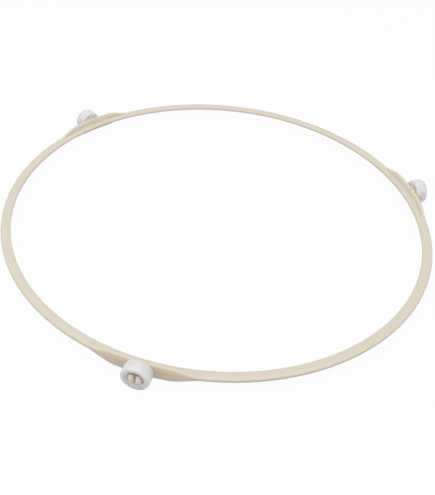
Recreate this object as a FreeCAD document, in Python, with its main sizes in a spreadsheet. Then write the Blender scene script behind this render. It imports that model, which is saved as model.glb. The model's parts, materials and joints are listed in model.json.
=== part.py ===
"""Microwave roller ring: a flat moulded hoop that carries three free-running rollers.

Each roller stands outside the hoop on a split snap axle, which grows from a crescent-shaped wall on the
hoop's outer edge. The rollers run on the oven floor, and the glass plate rests on their tops.

Lengths are in millimetres. The origin is the ring's centre on the floor, +Z is up, and the front roller is
towards -Y. Every piece is drawn at a station on +X with its middle plane at zero height, and its placement
then turns it to its own station and lifts it to its height. The ring hangs a little below the rollers'
centres, because its axles stand above its middle plane and rest in loose bores.
"""
import FreeCAD, Part
import Sketcher
import math
import os

# Driving sizes
SIZES = {
    # The flat hoop
    "ring_outer_radius": 120,
    "strip_width": 5.3,
    "strip_thickness": 1.6,
    "strip_edge_round": 0.5,
    # The crescent wall at each station: a low hump above and below the strip, with sloping ends
    "wall_thickness": 1.4,
    "wall_half_height": 4.25,
    "wall_half_length": 26.5,
    "wall_crest_half_length": 15.5,
    "wall_crest_crown": 0.25,
    "wall_end_half_height": 0.65,
    "wall_shoulder_round": 20,
    "wall_edge_bevel": 0.35,
    "wall_foot_round": 0.7,
    "wall_foot_half_length": 21,
    # The snap axle: a shoulder, a shaft and a domed head, split by an upright slot into two prongs
    "axle_lift": 0.45,
    "shoulder_radius": 4.4,
    "axle_radius": 2.2,
    "head_radius": 3.8,
    "head_rim": 0.2,
    "head_dome": 1.4,
    "slot_width": 0.6,
    "slot_length": 5,
    "prong_tip_round": 1.8,
    # The rollers
    "roller_radius": 7,
    "roller_width": 6.4,
    "roller_standoff": 1,
    "roller_edge_round": 0.95,
    "rim_width": 1.5,
    "dish_depth": 0.5,
    "recess_radius": 4.3,
    "recess_depth": 1.3,
    "bore_lead": 0.15,
    # The loose fit of a roller on its axle, which rests just above the lowest point of the bore
    "bore_clearance": 0.35,
    "rest_clearance": 0.1,
    "side_clearance": 0.2,
}

# Stations in turn, seen from above, and the direction of the first
STATIONS = ("front", "right", "left")
FRONT_DEGREES = 270

# Turns, in degrees, at which the flats of a quarter round meet
ROUND_TURNS = (0, 45, 90)

# Share of its radius by which the wall's foot bites into the wall and the strip
FOOT_BITE = 0.03

doc = FreeCAD.newDocument("roller_ring")
sheet = doc.addObject("Spreadsheet::Sheet", "sizes")
for row, (alias, size) in enumerate(SIZES.items(), start=1):
    sheet.set(f"A{row}", alias)
    sheet.set(f"B{row}", str(size))
    sheet.setAlias(f"B{row}", alias)
doc.recompute()

# Places that several features share, as expressions of the driving sizes
RING_OUTER = "sizes.ring_outer_radius"
RING_INNER = "(sizes.ring_outer_radius - sizes.strip_width)"
STRIP_TOP = "(sizes.strip_thickness / 2)"
WALL_INNER = "(sizes.ring_outer_radius - sizes.wall_thickness)"
ROLLER_INNER = "(sizes.ring_outer_radius + sizes.roller_standoff)"
ROLLER_OUTER = f"({ROLLER_INNER} + sizes.roller_width)"
RECESS_FLOOR = f"({ROLLER_OUTER} - sizes.recess_depth)"
SHOULDER_END = f"({ROLLER_INNER} - sizes.side_clearance)"
HEAD_START = f"({RECESS_FLOOR} + sizes.side_clearance)"
DOME_START = f"({HEAD_START} + sizes.head_rim)"
HEAD_END = f"({DOME_START} + sizes.head_dome)"
BORE_RADIUS = "(sizes.axle_radius + sizes.bore_clearance)"
HEAD_HALF_HEIGHT = f"({BORE_RADIUS} - sizes.rest_clearance)"
ROLLER_HEIGHT = "sizes.roller_radius"
AXLE_HEIGHT = f"({ROLLER_HEIGHT} - sizes.bore_clearance + sizes.rest_clearance)"
RING_HEIGHT = f"({AXLE_HEIGHT} - sizes.axle_lift)"


def value(expression):
    """The present value of a size expression."""
    return float(sheet.evalExpression(expression))


def origin_feature(body, role):
    """One of the body's own base planes or axes."""
    return next(item for item in body.Origin.OriginFeatures if item.Role == role)


def new_body(label):
    body = doc.addObject("PartDesign::Body", label)
    body.Label = label
    return body


def new_sketch(body, name, plane):
    sketch = body.newObject("Sketcher::SketchObject", name)
    sketch.AttachmentSupport = (origin_feature(body, plane), [""])
    sketch.MapMode = "FlatFace"
    return sketch


def bind(item, **expressions):
    for name, expression in expressions.items():
        item.setExpression(name, expression)


def hold(sketch, kind, expression, *places):
    """Add one dimension to a sketch and tie it to the sizes."""
    number = sketch.addConstraint(Sketcher.Constraint(kind, *places, value(expression)))
    sketch.setExpression(f"Constraints[{number}]", expression)


def arc_between(start, end, radius):
    """Arc from start to end. A positive radius turns left on the way, a negative one turns right."""
    chord = end - start
    inward = FreeCAD.Vector(-chord.y, chord.x, 0).normalize() * math.copysign(1, radius)
    rise = math.sqrt(radius ** 2 - (chord.Length / 2) ** 2)
    crown = (start + end) * 0.5 + inward * (rise - abs(radius))
    return Part.Arc(start, crown, end)


def outline(sketch, *corners):
    """Closed outline through corners (x, y), in turn to the left, each held at its own x and y.

    A corner may have a third item, the radius of the arc that leads from it to the next corner: positive
    where the arc swells outwards, negative where it is hollow.
    """
    edges = []
    places = [FreeCAD.Vector(value(corner[0]), value(corner[1])) for corner in corners]
    for corner, start, end in zip(corners, places, places[1:] + places[:1]):
        if len(corner) == 2:
            edge = sketch.addGeometry(Part.LineSegment(start, end))
            edges.append((edge, 1, 2))
            continue
        radius = value(corner[2])
        edge = sketch.addGeometry(arc_between(start, end, radius))
        edges.append((edge, 1, 2) if radius > 0 else (edge, 2, 1))
        hold(sketch, "Radius", f"abs({corner[2]})", edge)
    for corner, (edge, first, _), (before, _, last) in zip(corners, edges, edges[-1:] + edges[:-1]):
        sketch.addConstraint(Sketcher.Constraint("Coincident", before, last, edge, first))
        hold(sketch, "DistanceX", corner[0], -1, 1, edge, first)
        hold(sketch, "DistanceY", corner[1], -1, 1, edge, first)


def soft_corner(x, y, radius, heading):
    """Corners of a quarter round in equal flats, where an outline at this heading turns left at (x, y)."""
    across = round(math.cos(math.radians(heading)))
    up = round(math.sin(math.radians(heading)))
    corners = []
    for turn in ROUND_TURNS:
        angle = heading - 90 + turn
        corners.append((
            f"({x} + {radius} * (cos({angle}) - {across} - {up}))",
            f"({y} + {radius} * (sin({angle}) - {up} + {across}))",
        ))
    return corners


def revolve(body, sketch, axis, kind="PartDesign::Revolution"):
    feature = body.newObject(kind, sketch.Name + "_turned")
    feature.Profile = sketch
    feature.ReferenceAxis = axis
    feature.Angle = 360
    doc.recompute()
    return feature


def cut_through(body, sketch, base, length):
    """Pocket that cuts the sketch out of the base feature, half of the length to each side of its plane."""
    pocket = body.newObject("PartDesign::Pocket", sketch.Name + "_cut")
    pocket.Profile = sketch
    pocket.SideType = "Symmetric"
    bind(pocket, Length=length)
    doc.recompute()
    if not pocket.Shape.Volume < base.Shape.Volume:
        raise RuntimeError(sketch.Name + " cut nothing")
    return pocket


def dress_edges(body, kind, base, name, chosen, **expressions):
    """Fillet or chamfer every edge of the base feature for which chosen(edge) is true."""
    names = [f"Edge{number}" for number, edge in enumerate(base.Shape.Edges, start=1) if chosen(edge)]
    feature = body.newObject(kind, name)
    feature.Base = (base, names)
    bind(feature, **expressions)
    doc.recompute()
    return feature


def near(first, second):
    return abs(first - second) < 1e-4


def edge_ends(edge):
    return edge.valueAt(edge.FirstParameter), edge.valueAt(edge.LastParameter)


def place(body, station, height):
    """Turn a piece from +X to its station and lift it to its height."""
    bind(body, **{"Placement.Base.z": height})
    turn = FreeCAD.Rotation(FreeCAD.Vector(0, 0, 1), FRONT_DEGREES + station * 360 / len(STATIONS))
    body.Placement.Rotation = turn


def make_wall(body):
    """One crescent: its outline, pressed outwards from the centre and trimmed to a curved wall."""
    crest = "(sizes.wall_half_height - sizes.wall_crest_crown)"
    crest_end = "sizes.wall_crest_half_length"
    crest_radius = f"(({crest_end}^2 + sizes.wall_crest_crown^2) / (2 * sizes.wall_crest_crown))"
    end = "sizes.wall_half_length"
    end_height = "sizes.wall_end_half_height"
    crescent = new_sketch(body, "crescent", "YZ_Plane")
    outline(
        crescent,
        (end, f"-{end_height}"), (end, end_height),
        (crest_end, crest, crest_radius), (f"-{crest_end}", crest),
        (f"-{end}", end_height), (f"-{end}", f"-{end_height}"),
        (f"-{crest_end}", f"-{crest}", crest_radius), (crest_end, f"-{crest}"),
    )
    blank = body.newObject("PartDesign::Pad", "crescent_blank")
    blank.Profile = crescent
    bind(blank, Length=f"{RING_OUTER} + sizes.wall_thickness")
    doc.recompute()

    def is_shoulder(edge):
        start, stop = edge_ends(edge)
        return near(start.y, stop.y) and near(abs(start.y), value(crest_end)) and near(start.z, stop.z)

    shoulders = dress_edges(
        body, "PartDesign::Fillet", blank, "crescent_shoulders", is_shoulder,
        Radius="sizes.wall_shoulder_round",
    )

    trim = new_sketch(body, "wall_trim", "XZ_Plane")
    beyond = f"({RING_OUTER} + sizes.wall_half_length)"
    height = "(2 * sizes.wall_half_height)"
    outline(trim, ("0", f"-{height}"), (WALL_INNER, f"-{height}"), (WALL_INNER, height), ("0", height))
    outline(trim, (RING_OUTER, f"-{height}"), (beyond, f"-{height}"), (beyond, height), (RING_OUTER, height))
    wall = revolve(body, trim, (origin_feature(body, "Z_Axis"), [""]), "PartDesign::Groove")
    if wall.Shape.Volume > shoulders.Shape.Volume / 2:
        raise RuntimeError("the crescent was not trimmed to a wall")

    def is_rim(edge):
        start, stop = edge_ends(edge)
        same_radius = near(math.hypot(start.x, start.y), math.hypot(stop.x, stop.y))
        return same_radius and not near(start.y, stop.y)

    dress_edges(body, "PartDesign::Chamfer", wall, "wall_bevel", is_rim, Size="sizes.wall_edge_bevel")


def make_axle(body):
    """Shoulder, shaft and snap head on the outside of the wall.

    A slot splits the head into two prongs that can spring in, and its mouth is rounded, so that each prong
    ends in a knob of its own. Flats above and below let the head pass through the bore.
    """
    root = f"({RING_OUTER} - sizes.wall_edge_bevel / 2)"
    dome_radius = "((sizes.head_dome^2 + sizes.head_radius^2) / (2 * sizes.head_dome))"
    lifted = {"AttachmentOffset.Base.y": "sizes.axle_lift"}
    profile = new_sketch(body, "axle_profile", "XZ_Plane")
    bind(profile, **lifted)
    outline(
        profile,
        (root, "0"), (HEAD_END, "0", dome_radius),
        (DOME_START, "sizes.head_radius"), (HEAD_START, "sizes.head_radius"),
        (HEAD_START, "sizes.axle_radius"), (SHOULDER_END, "sizes.axle_radius"),
        (SHOULDER_END, "sizes.shoulder_radius"), (root, "sizes.shoulder_radius"),
    )
    axle = revolve(body, profile, (profile, ["H_Axis"]))

    slot = new_sketch(body, "slot_outline", "XY_Plane")
    tip_round = "sizes.prong_tip_round"
    slot_root = f"({HEAD_END} - sizes.slot_length)"
    lip = f"({HEAD_END} - {tip_round})"
    beyond = f"({HEAD_END} + {tip_round})"
    side = "(sizes.slot_width / 2)"
    mouth = f"({side} + {tip_round})"
    outline(
        slot,
        (slot_root, f"-{side}"), (lip, f"-{side}", f"-{tip_round}"),
        (HEAD_END, f"-{mouth}"), (beyond, f"-{mouth}"),
        (beyond, mouth), (HEAD_END, mouth, f"-{tip_round}"),
        (lip, side), (slot_root, side),
    )
    prongs = cut_through(body, slot, axle, "4 * sizes.head_radius")

    flats = new_sketch(body, "head_flats", "XZ_Plane")
    bind(flats, **lifted)
    over = "(2 * sizes.head_radius)"
    outline(
        flats,
        (RECESS_FLOOR, HEAD_HALF_HEIGHT), (beyond, HEAD_HALF_HEIGHT), (beyond, over), (RECESS_FLOOR, over),
    )
    outline(
        flats,
        (RECESS_FLOOR, f"-{over}"), (beyond, f"-{over}"),
        (beyond, f"-{HEAD_HALF_HEIGHT}"), (RECESS_FLOOR, f"-{HEAD_HALF_HEIGHT}"),
    )
    cut_through(body, flats, prongs, "4 * sizes.head_radius")


def make_foot(body):
    """Hollow foot where the wall's inner face meets the strip, above and below.

    It is turned about a centre further away than the ring's, so that it sinks into the wall at both ends.
    """
    foot = "sizes.wall_foot_round"
    bite = f"({FOOT_BITE} * {foot})"
    toe = f"({WALL_INNER} - {foot})"
    heel = f"({WALL_INNER} + {bite})"
    low = f"({STRIP_TOP} - {bite})"
    high = f"({STRIP_TOP} + {foot})"
    hollow = f"({foot} + {bite})"
    bend = f"(1 / (1 / {WALL_INNER} - 2 * {foot} / sizes.wall_foot_half_length^2))"
    centre = f"({WALL_INNER} - {bend})"
    section = new_sketch(body, "foot_section", "XZ_Plane")
    outline(section, (toe, low), (heel, low), (heel, high, f"-{hollow}"))
    outline(section, (toe, f"-{low}", f"-{hollow}"), (heel, f"-{high}"), (heel, f"-{low}"))
    start = FreeCAD.Vector(value(centre), 0)
    axis = section.addGeometry(Part.LineSegment(start, start + FreeCAD.Vector(0, value(high))), True)
    section.addConstraint(Sketcher.Constraint("Vertical", axis))
    section.addConstraint(Sketcher.Constraint("PointOnObject", axis, 1, -1))
    hold(section, "DistanceX", centre, -1, 1, axis, 1)
    hold(section, "DistanceY", high, -1, 1, axis, 2)
    feature = revolve(body, section, (section, ["Axis0"]))
    feature.Midplane = True
    bind(feature, Angle=f"2 * asin(sizes.wall_foot_half_length / {bend})")
    doc.recompute()


def make_strip(body):
    """The flat hoop, with all four of its edges rounded."""
    section = new_sketch(body, "strip_section", "XZ_Plane")
    corners = (
        (RING_OUTER, f"-{STRIP_TOP}", 0), (RING_OUTER, STRIP_TOP, 90),
        (RING_INNER, STRIP_TOP, 180), (RING_INNER, f"-{STRIP_TOP}", 270),
    )
    points = []
    for x, y, heading in corners:
        points += soft_corner(x, y, "sizes.strip_edge_round", heading)
    outline(section, *points)
    revolve(body, section, (origin_feature(body, "Z_Axis"), [""]))


def make_ring():
    """The moulding: one station is made whole and repeated round the centre, and the strip joins them."""
    ring = new_body("ring")
    ring.AllowCompound = True
    make_wall(ring)
    make_axle(ring)
    make_foot(ring)
    stations = ring.newObject("PartDesign::PolarPattern", "stations")
    stations.TransformMode = "Whole shape"
    stations.Axis = (origin_feature(ring, "Z_Axis"), [""])
    stations.Angle = 360
    stations.Occurrences = len(STATIONS)
    ring.Tip = stations
    doc.recompute()
    make_strip(ring)
    place(ring, 0, RING_HEIGHT)
    return ring


def make_roller(label, station):
    """A turned section: bore, recess for the snap head, dished outer face and rounded tread."""
    roller = new_body(label)
    lead_end = f"({ROLLER_INNER} + sizes.bore_lead)"
    lead_radius = f"({BORE_RADIUS} + sizes.bore_lead)"
    rim_inner = "(sizes.roller_radius - sizes.rim_width)"
    dish_floor = f"({ROLLER_OUTER} - sizes.dish_depth)"
    tread = "sizes.roller_radius"
    edge = "sizes.roller_edge_round"
    section = new_sketch(roller, label + "_section", "XZ_Plane")
    outline(
        section,
        (ROLLER_INNER, lead_radius), (lead_end, BORE_RADIUS), (RECESS_FLOOR, BORE_RADIUS),
        (RECESS_FLOOR, "sizes.recess_radius"), (dish_floor, "sizes.recess_radius"), (ROLLER_OUTER, rim_inner),
        *soft_corner(ROLLER_OUTER, tread, edge, 90),
        *soft_corner(ROLLER_INNER, tread, edge, 180),
    )
    revolve(roller, section, (origin_feature(roller, "X_Axis"), [""]))
    place(roller, station, ROLLER_HEIGHT)
    return roller


def check(bodies):
    """Stop if any feature failed or any piece is not one sound solid."""
    failed = [item.Name for item in doc.Objects if "Invalid" in item.State or "Error" in item.State]
    if failed:
        raise RuntimeError("failed: " + ", ".join(failed))
    for body in bodies:
        if body.Shape.isNull() or not body.Shape.isValid() or len(body.Shape.Solids) != 1:
            raise RuntimeError(body.Label + " is not one sound solid")


pieces = [make_ring()]
pieces += [make_roller(f"roller_{side}", station) for station, side in enumerate(STATIONS)]
doc.recompute()
check(pieces)
os.makedirs("parts", exist_ok=True)
for piece in pieces:
    piece.Shape.exportStep(f"parts/{piece.Label}.step")
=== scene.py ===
import json
import math

import bpy
from mathutils import Matrix, Vector

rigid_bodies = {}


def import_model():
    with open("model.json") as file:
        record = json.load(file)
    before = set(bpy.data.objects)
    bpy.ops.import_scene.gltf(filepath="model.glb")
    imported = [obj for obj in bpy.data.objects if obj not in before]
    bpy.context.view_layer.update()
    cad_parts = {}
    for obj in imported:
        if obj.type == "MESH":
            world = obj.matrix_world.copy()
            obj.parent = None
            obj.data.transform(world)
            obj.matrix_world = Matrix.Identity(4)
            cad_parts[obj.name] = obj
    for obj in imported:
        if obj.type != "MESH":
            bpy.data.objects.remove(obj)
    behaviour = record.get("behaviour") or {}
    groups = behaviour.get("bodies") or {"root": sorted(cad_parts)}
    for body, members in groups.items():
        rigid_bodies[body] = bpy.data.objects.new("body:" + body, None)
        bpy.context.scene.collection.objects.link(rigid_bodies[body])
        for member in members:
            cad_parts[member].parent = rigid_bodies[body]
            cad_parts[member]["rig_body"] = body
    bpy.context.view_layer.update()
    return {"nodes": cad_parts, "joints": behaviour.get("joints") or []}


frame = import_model()

# The photograph's frame and the camera that fits it: pixels, degrees and metres
IMAGE_WIDTH = 435
IMAGE_HEIGHT = 495
FOCAL_PIXELS = 683.3
OPTICAL_AXIS_COLUMN = 175
SENSOR_MM = 36
CAMERA_AZIMUTH = 17.13
CAMERA_PITCH = 41.48
CAMERA_ROLL = 2.584
AIM_HEIGHT = 0.0063
AIM_RIGHT = 0.02322
AIM_DOWN = -0.02038
AIM_FORWARD = 0.38994

# Studio: a white floor and surround, an even ambient light and soft boxes (place, size, watts)
WHITE = (1, 1, 1, 1)
AMBIENT = 0.48
FLOOR_COLOUR = (0.70, 0.70, 0.70, 1)
FLOOR_WHITE_SHARE = 0.95
FLOOR_HALF = 4.0
SOFT_BOXES = {
    "soft_box_top": ((0.0, 0.0, 1.0), 0.9, 4.6),
    "soft_box_left": ((-0.75, -0.6, 0.75), 0.6, 3.2),
    "soft_box_right": ((0.9, -0.3, 0.5), 0.7, 1.7),
}

# Colours of the plastics: the strip's edges, the walls' outer faces and the rollers' outer faces are painted
# shade, deeper in tone than the rest, the walls are painted bounce light, lighter and warmer, and the axles'
# heads are painted light, paler than the rest. The gap colours stand for light that seeps through round a
# narrow gap
CREAM = (0.69, 0.645, 0.55, 1)
CREAM_WARM = (0.685, 0.625, 0.51, 1)
CREAM_PALE = (0.74, 0.70, 0.61, 1)
CREAM_RIM_SHADE = (0.59, 0.535, 0.435, 1)
CREAM_WALL_BOUNCE_LIGHT = (0.78, 0.71, 0.57, 1)
CREAM_OUTSIDE_SHADE = (0.72, 0.61, 0.46, 1)
CREAM_HEAD_LIGHT = (0.88, 0.80, 0.66, 1)
CREAM_GAP = (0.96, 0.87, 0.68, 1)
ROLLER_WHITE = (0.715, 0.70, 0.70, 1)
ROLLER_COOL = (0.695, 0.685, 0.69, 1)
ROLLER_FACE_SHADE = (0.655, 0.64, 0.645, 1)
ROLLER_GREY = (0.65, 0.63, 0.62, 1)
ROLLER_GAP = (0.97, 0.94, 0.90, 1)

# Stations round the ring, the bearing of one of them, and heights above the floor in metres
STATIONS = 3
FIRST_STATION = math.radians(30)
STRIP_HEIGHT = 0.0063
AXLE_HEIGHT = 0.00675

# Where each tone begins and where it is whole, in metres: the strip's edges, the walls' outer faces and the
# heads from the ring's centre, the walls from the strip's middle plane and along the ring from their station
RIM_OUTER = (0.1193, 0.1198)
RIM_INNER = (0.1154, 0.1149)
WALL_RISE = (0.0009, 0.0016)
WALL_OUTER = (0.1190, 0.1196)
WALL_LENGTH = (0.026, 0.020)
HEAD_REACH = (0.1258, 0.1264)

# The same on a roller: the tread from its axis, and the outer face along its axis from its middle
TREAD_RADIUS = (0.0060, 0.0068)
FACE_REACH = (0.0, 0.002)

# Openness at which a gap's colour begins and is whole, and how far the gap is felt, in metres
CREAM_GAP_RANGE = (0.55, 0.15)
ROLLER_GAP_RANGE = (0.8, 0.3)
GAP_REACH = 0.003
GAP_SAMPLES = 8

# The most that each tone shows
RIM_OUTER_SHADE_SHARE = 0.75
RIM_INNER_SHADE_SHARE = 0.25
WALL_PAINTED_SHARE = 0.8
HEAD_LIGHT_SHARE = 0.8
SPECK_SHARE = 0.1
WEAR_SHARE = 0.12
SCUFF_SHARE = 0.35

# Patterns: scales per metre, per radian for the lines' turn, and the part of each pattern's values in use
CLOUD_SCALE = 26.0
SPECK_SCALE = 900.0
WAVE_SCALE = 150.0
GRAIN_SCALE = 3200.0
ROLLER_CLOUD_SCALE = 160.0
ROLLER_GRAIN_SCALE = 2800.0
LINE_SCALE = 2600.0
LINE_TURN_SCALE = 0.8
CLOUD_RANGE = (0.35, 0.65)
SPECK_RANGE = (0.45, 0.8)
WEAR_RANGE = (0.3, 0.7)
LINE_RANGE = (0.52, 0.75)

# Roughness, from the sum of two patterns, and fine relief in metres
CREAM_ROUGHNESS_RANGE = (0.6, 1.4)
CREAM_ROUGHNESS = (0.34, 0.50)
CREAM_RELIEF = 0.0004
CREAM_RELIEF_STRENGTH = 0.12
ROLLER_ROUGHNESS_RANGE = (0.3, 0.9)
ROLLER_ROUGHNESS = (0.30, 0.46)
ROLLER_RELIEF = 0.0003
ROLLER_RELIEF_STRENGTH = 0.1
GRAIN_SHARE = 0.3

# Rounding that the shading adds, in metres: on every edge, more on the heads, and on each head's two knobs
EDGE_SOFTNESS = 0.00035
HEAD_SOFTNESS = 0.0014
SOFTNESS_SAMPLES = 16
KNOB_ASIDE = 0.0020
KNOB_HALF_WIDTH = 0.0019
KNOB_HALF_HEIGHT = 0.0026
KNOB_RISE = 0.0006
KNOB_FLOOR = -0.5

# Cosine of the turn between a face and its softened normal, on an open face and where an edge counts whole
EDGE_TURN = (0.995, 0.86)

# Faces that meet at less than this angle are shaded as one, once points this close are joined
SMOOTH_LIMIT = math.radians(50)
MERGE_DISTANCE = 0.000001


def make_camera():
    azimuth = math.radians(CAMERA_AZIMUTH)
    pitch = math.radians(CAMERA_PITCH)
    roll = math.radians(CAMERA_ROLL)
    level_right = Vector((math.cos(azimuth), math.sin(azimuth), 0))
    forward = Vector((
        -math.sin(azimuth) * math.cos(pitch),
        math.cos(azimuth) * math.cos(pitch),
        -math.sin(pitch),
    ))
    level_down = forward.cross(level_right)
    right = level_right * math.cos(roll) - level_down * math.sin(roll)
    down = level_right * math.sin(roll) + level_down * math.cos(roll)
    aim = Vector((0, 0, AIM_HEIGHT))
    place = aim - right * AIM_RIGHT - down * AIM_DOWN - forward * AIM_FORWARD

    data = bpy.data.cameras.new("camera")
    data.sensor_width = SENSOR_MM
    data.lens = FOCAL_PIXELS * SENSOR_MM / IMAGE_HEIGHT
    data.shift_x = (IMAGE_WIDTH / 2 - OPTICAL_AXIS_COLUMN) / IMAGE_HEIGHT
    camera = bpy.data.objects.new("camera", data)
    turn = Matrix((right, -down, -forward)).transposed().to_4x4()
    camera.matrix_world = Matrix.Translation(place) @ turn
    bpy.context.scene.collection.objects.link(camera)
    bpy.context.scene.camera = camera


def new_tree(owner):
    owner.use_nodes = True
    owner.node_tree.nodes.clear()
    return owner.node_tree


class Nodes:
    """Adds nodes to a tree. A setting that is an output socket is linked, any other is set."""

    def __init__(self, tree):
        self.tree = tree

    def fill(self, socket, source):
        if isinstance(source, bpy.types.NodeSocket):
            self.tree.links.new(source, socket)
        else:
            socket.default_value = source

    def add(self, kind, inputs=None, **settings):
        node = self.tree.nodes.new(kind)
        for name, setting in settings.items():
            setattr(node, name, setting)
        for key, source in (inputs or {}).items():
            self.fill(node.inputs[key], source)
        return node

    def maths(self, operation, *sources):
        return self.add("ShaderNodeMath", dict(enumerate(sources)), operation=operation).outputs[0]

    def vector(self, operation, *sources, output="Vector"):
        node = self.add("ShaderNodeVectorMath", dict(enumerate(sources)), operation=operation)
        return node.outputs[output]

    def noise(self, vector, scale, detail=2.0, roughness=0.5):
        inputs = {"Vector": vector, "Scale": scale, "Detail": detail, "Roughness": roughness}
        return self.add("ShaderNodeTexNoise", inputs).outputs["Fac"]

    def spread(self, source, low, high, to_low=0.0, to_high=1.0):
        inputs = {"Value": source, "From Min": low, "From Max": high, "To Min": to_low, "To Max": to_high}
        return self.add("ShaderNodeMapRange", inputs).outputs["Result"]

    def mix(self, share, first, second):
        node = self.add("ShaderNodeMix", data_type="RGBA")
        ends = {"Factor_Float": share, "A_Color": first, "B_Color": second}
        for socket in node.inputs:
            if socket.identifier in ends:
                self.fill(socket, ends[socket.identifier])
        return next(socket for socket in node.outputs if socket.identifier == "Result_Color")

    def openness(self):
        """1 on open faces, falling to 0 deep in a gap."""
        node = self.add("ShaderNodeAmbientOcclusion", {"Distance": GAP_REACH}, samples=GAP_SAMPLES)
        return node.outputs["AO"]

    def softened(self, radius):
        """The surface's normal with its edges rounded."""
        return self.add("ShaderNodeBevel", {"Radius": radius}, samples=SOFTNESS_SAMPLES).outputs["Normal"]


def seen_directly(nodes):
    """1 where a ray comes straight from the camera, a reflection or glass, else 0."""
    path = nodes.add("ShaderNodeLightPath")
    first = nodes.maths("MAXIMUM", path.outputs["Is Camera Ray"], path.outputs["Is Glossy Ray"])
    return nodes.maths("MAXIMUM", first, path.outputs["Is Transmission Ray"])


def make_world():
    world = bpy.data.worlds.new("studio")
    bpy.context.scene.world = world
    nodes = Nodes(new_tree(world))
    soft = nodes.add("ShaderNodeBackground", {"Color": WHITE, "Strength": AMBIENT}).outputs[0]
    white = nodes.add("ShaderNodeBackground", {"Color": WHITE, "Strength": 1.0}).outputs[0]
    mix = nodes.add("ShaderNodeMixShader", {0: seen_directly(nodes), 1: soft, 2: white})
    nodes.add("ShaderNodeOutputWorld", {"Surface": mix.outputs[0]})


def make_floor():
    mesh = bpy.data.meshes.new("floor")
    corners = [(-1, -1), (1, -1), (1, 1), (-1, 1)]
    mesh.from_pydata([(x * FLOOR_HALF, y * FLOOR_HALF, 0) for x, y in corners], [], [(0, 1, 2, 3)])
    floor = bpy.data.objects.new("floor", mesh)
    bpy.context.scene.collection.objects.link(floor)
    material = bpy.data.materials.new("floor_white")
    nodes = Nodes(new_tree(material))
    share = nodes.maths("MULTIPLY", seen_directly(nodes), FLOOR_WHITE_SHARE)
    paint = nodes.add("ShaderNodeBsdfDiffuse", {"Color": FLOOR_COLOUR}).outputs[0]
    white = nodes.add("ShaderNodeEmission", {"Color": WHITE, "Strength": 1.0}).outputs[0]
    mix = nodes.add("ShaderNodeMixShader", {0: share, 1: paint, 2: white})
    nodes.add("ShaderNodeOutputMaterial", {"Surface": mix.outputs[0]})
    mesh.materials.append(material)


def make_soft_box(name, place, size, watts):
    data = bpy.data.lights.new(name, "AREA")
    data.shape = "SQUARE"
    data.size = size
    data.energy = watts
    light = bpy.data.objects.new(name, data)
    light.location = place
    light.rotation_euler = (-Vector(place)).to_track_quat("-Z", "Y").to_euler()
    bpy.context.scene.collection.objects.link(light)


def edge_mask(nodes, soft_normal):
    """0 on open faces, rising to 1 where a face turns over an edge."""
    face = nodes.add("ShaderNodeNewGeometry").outputs["Normal"]
    likeness = nodes.vector("DOT_PRODUCT", soft_normal, face, output="Value")
    return nodes.spread(likeness, *EDGE_TURN)


def distance_aside(nodes, bearing, from_centre):
    """Distance along the ring from the nearest station."""
    half_turn = math.pi / STATIONS
    from_first = nodes.maths("SUBTRACT", bearing, FIRST_STATION)
    from_nearest = nodes.maths("WRAP", from_first, half_turn, -half_turn)
    return nodes.maths("ABSOLUTE", nodes.maths("MULTIPLY", from_nearest, from_centre))


def rim_shade_mask(nodes, from_centre):
    """Share of the edges' painted shade: most on the strip's outer edge, less on its inner one, else 0."""
    outer = nodes.spread(from_centre, *RIM_OUTER, 0.0, RIM_OUTER_SHADE_SHARE)
    inner = nodes.spread(from_centre, *RIM_INNER, 0.0, RIM_INNER_SHADE_SHARE)
    return nodes.maths("MAXIMUM", outer, inner)


def wall_bounce_light_mask(nodes, height):
    """Share of the walls' painted bounce light, lighter and warmer: on the crescent walls above and below
    the strip, else 0.
    """
    from_strip = nodes.maths("ABSOLUTE", nodes.maths("SUBTRACT", height, STRIP_HEIGHT))
    return nodes.maths("MULTIPLY", nodes.spread(from_strip, *WALL_RISE), WALL_PAINTED_SHARE)


def outside_shade_mask(nodes, aside, from_centre):
    """Share of the outer faces' painted shade: on the outer faces of the crescent walls, else 0."""
    outer = nodes.spread(from_centre, *WALL_OUTER)
    near = nodes.spread(aside, *WALL_LENGTH)
    return nodes.maths("MULTIPLY", nodes.maths("MULTIPLY", outer, near), WALL_PAINTED_SHARE)


def knob_swell(nodes, aside, height):
    """Rounding of the prongs' ends: 1 at the middle of each knob, falling away on all sides of it."""
    across = nodes.maths("DIVIDE", nodes.maths("SUBTRACT", aside, KNOB_ASIDE), KNOB_HALF_WIDTH)
    up = nodes.maths("DIVIDE", nodes.maths("SUBTRACT", height, AXLE_HEIGHT), KNOB_HALF_HEIGHT)
    squares = [nodes.maths("POWER", part, 2.0) for part in (across, up)]
    swell = nodes.maths("SUBTRACT", 1.0, nodes.maths("ADD", *squares))
    return nodes.maths("MAXIMUM", swell, KNOB_FLOOR)


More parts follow.
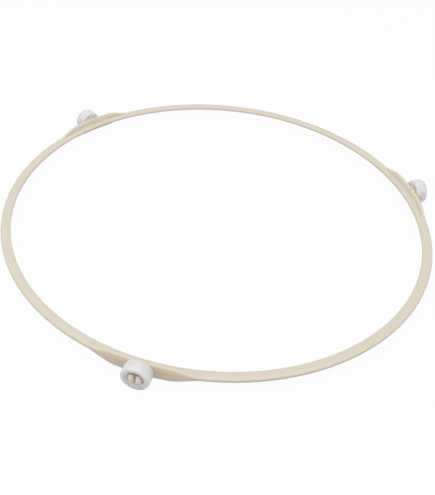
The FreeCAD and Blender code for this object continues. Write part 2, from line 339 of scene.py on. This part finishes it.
def make_cream():
    """Satin cream moulding: faint clouds and specks, painted shade on the strip's edges and the walls' outer
    faces, painted light on the walls and heads, worn edges and rounded knobs.
    """
    material = bpy.data.materials.new("cream_moulding")
    nodes = Nodes(new_tree(material))
    place = nodes.add("ShaderNodeTexCoord").outputs["Object"]
    x, y, z = nodes.add("ShaderNodeSeparateXYZ", {0: place}).outputs
    bearing = nodes.maths("ARCTAN2", y, x)
    from_centre = nodes.vector("LENGTH", nodes.vector("MULTIPLY", place, (1, 1, 0)), output="Value")
    aside = distance_aside(nodes, bearing, from_centre)
    head = nodes.spread(from_centre, *HEAD_REACH)
    soft_normal = nodes.softened(nodes.spread(head, 0.0, 1.0, EDGE_SOFTNESS, HEAD_SOFTNESS))

    clouds = nodes.noise(place, CLOUD_SCALE, detail=3.0)
    specks = nodes.noise(place, SPECK_SCALE, roughness=0.6)
    grain = nodes.noise(place, GRAIN_SCALE)
    waves = nodes.noise(place, WAVE_SCALE, detail=1.0)

    colour = nodes.mix(nodes.spread(clouds, *CLOUD_RANGE), CREAM, CREAM_WARM)
    # Painted shade: the strip's edges are darker in tone
    colour = nodes.mix(rim_shade_mask(nodes, from_centre), colour, CREAM_RIM_SHADE)
    # Painted bounce light: the walls are lighter and warmer
    colour = nodes.mix(wall_bounce_light_mask(nodes, z), colour, CREAM_WALL_BOUNCE_LIGHT)
    # Painted shade: the walls' outer faces are darker and browner
    colour = nodes.mix(outside_shade_mask(nodes, aside, from_centre), colour, CREAM_OUTSIDE_SHADE)
    colour = nodes.mix(nodes.spread(specks, *SPECK_RANGE, 0.0, SPECK_SHARE), colour, CREAM_PALE)
    # Painted light: the heads are paler than the rest
    colour = nodes.mix(nodes.maths("MULTIPLY", head, HEAD_LIGHT_SHARE), colour, CREAM_HEAD_LIGHT)
    colour = nodes.mix(nodes.spread(nodes.openness(), *CREAM_GAP_RANGE), colour, CREAM_GAP)
    wear = nodes.spread(specks, *WEAR_RANGE, 0.0, WEAR_SHARE)
    rubbed = nodes.maths("MULTIPLY", edge_mask(nodes, soft_normal), wear)
    colour = nodes.mix(rubbed, colour, CREAM_PALE)

    swell = nodes.maths("MULTIPLY", knob_swell(nodes, aside, z), head)
    rounded = nodes.add("ShaderNodeBump", {
        "Height": swell, "Strength": 1.0, "Distance": KNOB_RISE, "Normal": soft_normal,
    })
    bump = nodes.add("ShaderNodeBump", {
        "Height": nodes.maths("ADD", nodes.maths("MULTIPLY", grain, GRAIN_SHARE), waves),
        "Strength": CREAM_RELIEF_STRENGTH, "Distance": CREAM_RELIEF, "Normal": rounded.outputs[0],
    })
    pattern = nodes.maths("ADD", clouds, specks)
    shader = nodes.add("ShaderNodeBsdfPrincipled", {
        "Base Color": colour,
        "Roughness": nodes.spread(pattern, *CREAM_ROUGHNESS_RANGE, *CREAM_ROUGHNESS),
        "Normal": bump.outputs[0],
        "Subsurface Weight": 0.3,
        "Subsurface Radius": (1.0, 0.85, 0.6),
        "Subsurface Scale": 0.0012,
        "Specular IOR Level": 0.45,
    })
    nodes.add("ShaderNodeOutputMaterial", {"Surface": shader.outputs[0]})
    return material


def make_white(name, centre, axis):
    """Smooth white roller plastic, with painted shade on the outer face and faint rubbed lines round the
    axis where the tread runs.
    """
    material = bpy.data.materials.new(name)
    nodes = Nodes(new_tree(material))
    place = nodes.add("ShaderNodeTexCoord").outputs["Object"]
    offset = nodes.vector("SUBTRACT", place, centre)
    along = nodes.vector("DOT_PRODUCT", offset, axis, output="Value")
    side = Vector(axis).cross(Vector((0, 0, 1)))
    across = nodes.vector("DOT_PRODUCT", offset, tuple(side), output="Value")
    height = nodes.vector("DOT_PRODUCT", offset, (0, 0, 1), output="Value")
    turn = nodes.maths("ARCTAN2", height, across)
    squares = [nodes.maths("POWER", part, 2.0) for part in (across, height)]
    radius = nodes.maths("SQRT", nodes.maths("ADD", *squares))
    around = nodes.add("ShaderNodeCombineXYZ", {
        0: nodes.maths("MULTIPLY", along, LINE_SCALE),
        1: nodes.maths("MULTIPLY", radius, LINE_SCALE),
        2: nodes.maths("MULTIPLY", turn, LINE_TURN_SCALE),
    }).outputs[0]
    lines = nodes.noise(around, 1.0)
    clouds = nodes.noise(place, ROLLER_CLOUD_SCALE)
    grain = nodes.noise(place, ROLLER_GRAIN_SCALE)

    colour = nodes.mix(nodes.spread(clouds, *CLOUD_RANGE), ROLLER_WHITE, ROLLER_COOL)
    tread = nodes.spread(radius, *TREAD_RADIUS)
    outside = nodes.spread(along, *FACE_REACH)
    face = nodes.maths("MULTIPLY", outside, nodes.spread(tread, 1.0, 0.0))
    # Painted shade: the roller's outer face is darker than the tread
    colour = nodes.mix(face, colour, ROLLER_FACE_SHADE)
    scuffs = nodes.maths("MULTIPLY", tread, nodes.spread(lines, *LINE_RANGE, 0.0, SCUFF_SHARE))
    colour = nodes.mix(scuffs, colour, ROLLER_GREY)
    colour = nodes.mix(nodes.spread(nodes.openness(), *ROLLER_GAP_RANGE), colour, ROLLER_GAP)

    ridges = nodes.maths("MULTIPLY", lines, tread)
    bump = nodes.add("ShaderNodeBump", {
        "Height": nodes.maths("ADD", nodes.maths("MULTIPLY", grain, GRAIN_SHARE), ridges),
        "Strength": ROLLER_RELIEF_STRENGTH, "Distance": ROLLER_RELIEF,
        "Normal": nodes.softened(EDGE_SOFTNESS),
    })
    pattern = nodes.maths("ADD", clouds, scuffs)
    shader = nodes.add("ShaderNodeBsdfPrincipled", {
        "Base Color": colour,
        "Roughness": nodes.spread(pattern, *ROLLER_ROUGHNESS_RANGE, *ROLLER_ROUGHNESS),
        "Normal": bump.outputs[0],
        "Subsurface Weight": 1.0,
        "Subsurface Radius": (1.0, 0.97, 0.94),
        "Subsurface Scale": 0.006,
        "Specular IOR Level": 0.5,
    })
    nodes.add("ShaderNodeOutputMaterial", {"Surface": shader.outputs[0]})
    return material


def make_smoothing():
    """Geometry nodes that join the faces of a piece and shade them smooth up to a limit of angle."""
    group = bpy.data.node_groups.new("smooth_faces", "GeometryNodeTree")
    group.interface.new_socket("Geometry", in_out="INPUT", socket_type="NodeSocketGeometry")
    group.interface.new_socket("Geometry", in_out="OUTPUT", socket_type="NodeSocketGeometry")
    nodes = Nodes(group)
    start = nodes.add("NodeGroupInput").outputs[0]
    plain = nodes.add("GeometryNodeRemoveAttribute", {"Geometry": start, "Name": "custom_normal"})
    joined = nodes.add("GeometryNodeMergeByDistance", {
        "Geometry": plain.outputs[0], "Distance": MERGE_DISTANCE,
    })
    faces = nodes.add("GeometryNodeSetShadeSmooth", {
        "Geometry": joined.outputs[0], "Shade Smooth": True,
    }, domain="FACE")
    angle = nodes.add("GeometryNodeInputMeshEdgeAngle").outputs["Unsigned Angle"]
    gentle = nodes.add("FunctionNodeCompare", {0: angle, 1: SMOOTH_LIMIT}, operation="LESS_THAN")
    edges = nodes.add("GeometryNodeSetShadeSmooth", {
        "Geometry": faces.outputs[0], "Shade Smooth": gentle.outputs[0],
    }, domain="EDGE")
    nodes.add("NodeGroupOutput", {0: edges.outputs[0]})
    return group


make_camera()
make_world()
make_floor()
for name, (place, size, watts) in SOFT_BOXES.items():
    make_soft_box(name, place, size, watts)

cream = make_cream()
smoothing = make_smoothing()
joints = {joint["child"]: joint for joint in frame["joints"]}
for name, node in frame["nodes"].items():
    if name == "ring":
        material = cream
    else:
        joint = joints[node["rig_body"]]
        material = make_white("white_" + name, joint["pos_m"], joint["axis"])
    node.material_slots[0].material = material
    node.modifiers.new("smooth_faces", "NODES").node_group = smoothing

bpy.context.scene.view_settings.view_transform = "Standard"
